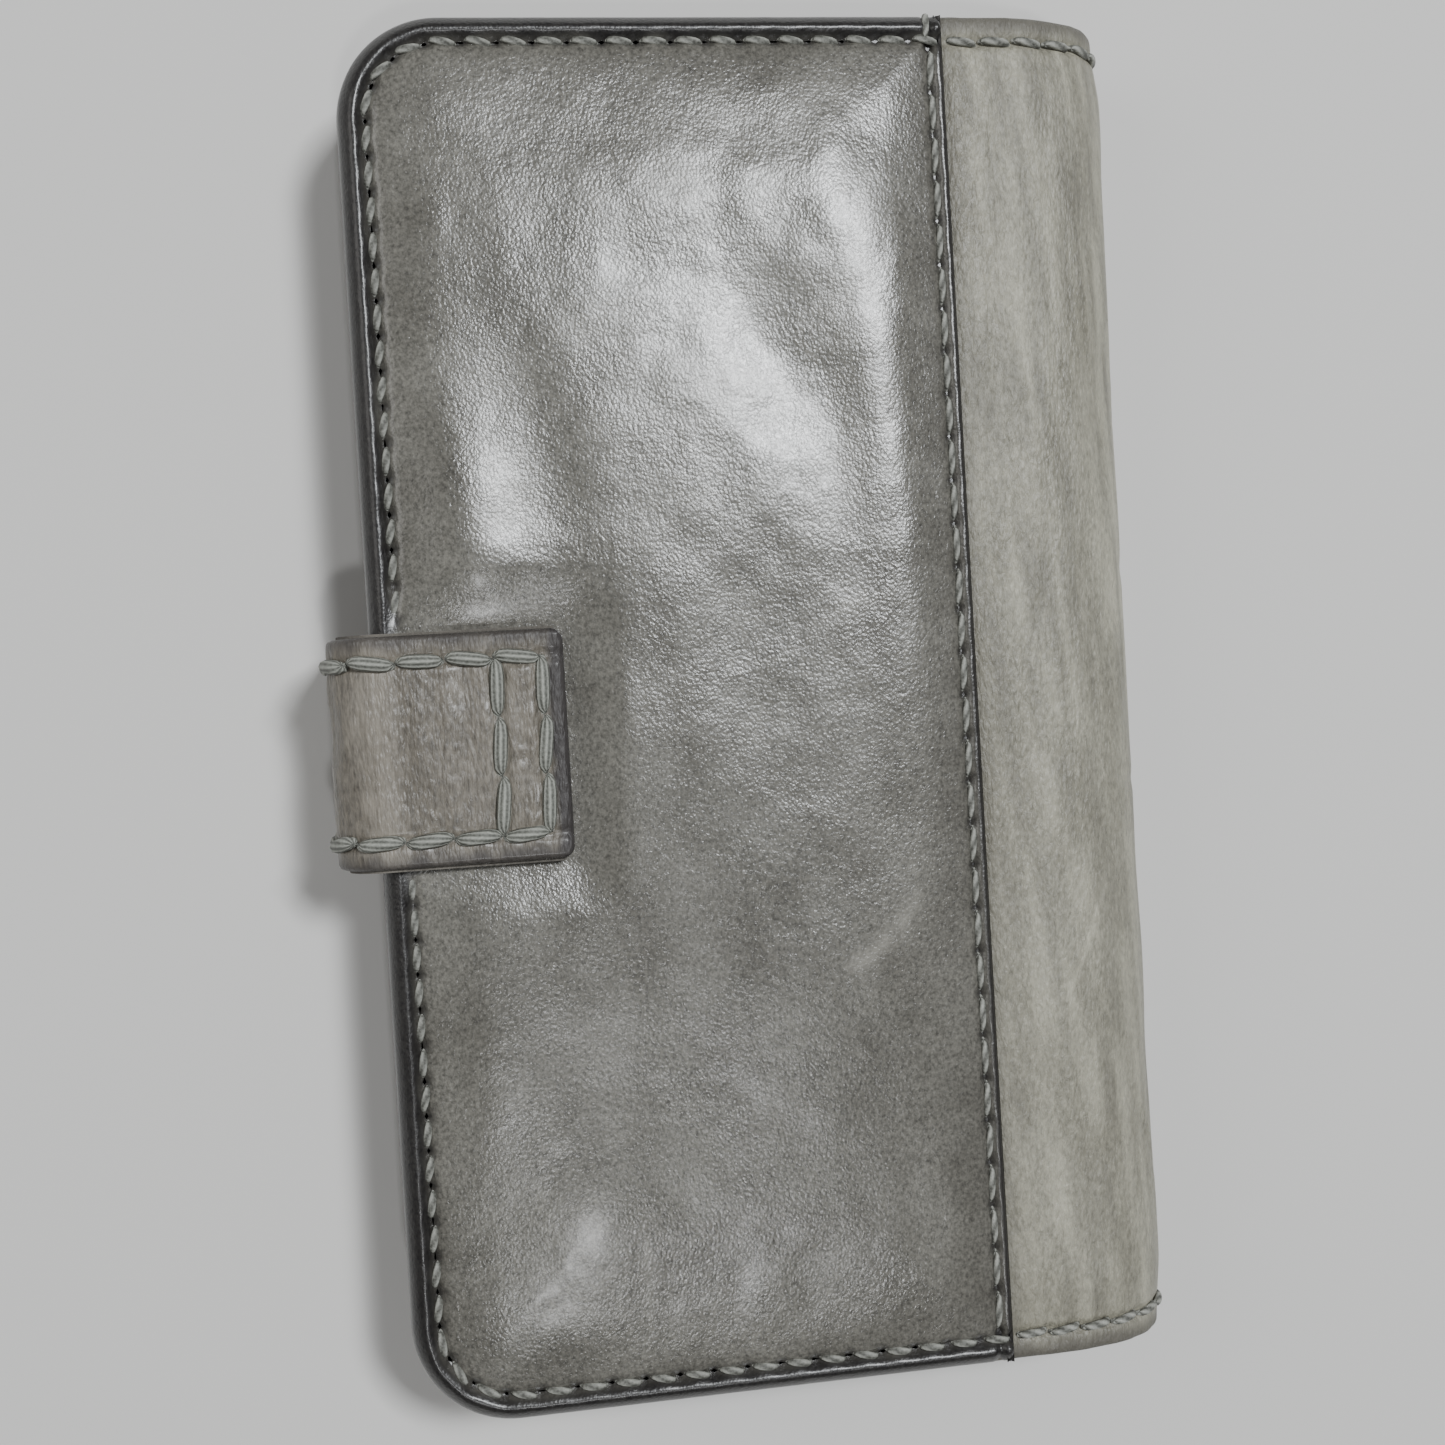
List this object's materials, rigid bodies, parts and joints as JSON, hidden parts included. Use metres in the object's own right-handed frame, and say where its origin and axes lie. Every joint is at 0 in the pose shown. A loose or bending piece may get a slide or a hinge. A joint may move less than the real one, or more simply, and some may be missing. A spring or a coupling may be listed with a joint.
{
  "type": "phone wallet case",
  "caption": "Leather folio case for a phone, with card slots inside the front cover, a rounded spine and a wrap-over closure strap.",
  "frame": {"origin": "centre of the back face, on the surface that the closed case rests on, midway along and across the case without its strap", "axes": "+Z out of the front cover, +Y along the case toward the phone's bottom end, +X from the open edge to the spine"},
  "size_m": [0.0941, 0.154, 0.0228],
  "materials": {
    "panel_leather": "waxed grey leather, glossy, with dark burnished edges",
    "spine_leather": "matte grey-beige leather with fine wrinkles",
    "strap_leather": "brown-grey leather, satin",
    "lining_leather": "smooth split leather, matte",
    "pocket_leather": "thin grey leather, satin",
    "thread": "waxed twisted thread, light grey-green",
    "board": "grey-brown leatherboard, matte",
    "padding": "thin soft foam",
    "shell_plastic": "moulded black plastic, satin",
    "adhesive": "translucent adhesive film",
    "steel": "stamped steel, satin",
    "magnet": "nickel-plated magnet"
  },
  "bodies": {
    "back_cover": {"back_panel": "panel_leather", "back_board": "board", "back_lining": "lining_leather", "shell_adhesive": "adhesive", "phone_shell": "shell_plastic", "spine_back_wing": "spine_leather", "strap_base": "strap_leather", "strap_base_lining": "lining_leather", "back_perimeter_stitching": "thread", "back_seam_stitching": "thread", "spine_back_stitching": "thread", "camera_window_stitching": "thread"},
    "spine": {"spine_panel": "spine_leather", "spine_lining": "lining_leather", "spine_end_stitching": "thread"},
    "front_cover": {"front_panel": "panel_leather", "front_padding": "padding", "front_board": "board", "keeper_plate": "steel", "front_lining": "lining_leather", "note_pocket": "pocket_leather", "card_slot_rear": "pocket_leather", "card_slot_middle": "pocket_leather", "card_slot_front": "pocket_leather", "spine_front_wing": "spine_leather", "front_perimeter_stitching": "thread", "front_seam_stitching": "thread", "spine_front_stitching": "thread", "pocket_stitching": "thread"},
    "strap_side": {"strap_side_outer": "strap_leather", "strap_side_lining": "lining_leather", "strap_side_stitching": "thread"},
    "strap_tip": {"strap_tip_outer": "strap_leather", "strap_tip_lining": "lining_leather", "strap_magnet": "magnet", "strap_tip_stitching": "thread"}
  },
  "joints": [
    {"name": "spine_fold", "type": "hinge", "parent": "back_cover", "child": "spine", "pos_m": [0.04215, 0, 0.00543], "axis": [0, 1, 0], "range_deg": [0, 90]},
    {"name": "cover_fold", "type": "hinge", "parent": "spine", "child": "front_cover", "pos_m": [0.04215, 0, 0.01456], "axis": [0, 1, 0], "range_deg": [0, 90]},
    {"name": "strap_side_fold", "type": "hinge", "parent": "back_cover", "child": "strap_side", "pos_m": [-0.04739, -0.0026, 0.00281], "axis": [0, -1, 0], "range_deg": [0, 90]},
    {"name": "strap_tip_fold", "type": "hinge", "parent": "strap_side", "child": "strap_tip", "pos_m": [-0.04739, -0.0026, 0.02089], "axis": [0, -1, 0], "range_deg": [0, 90]}
  ]
}
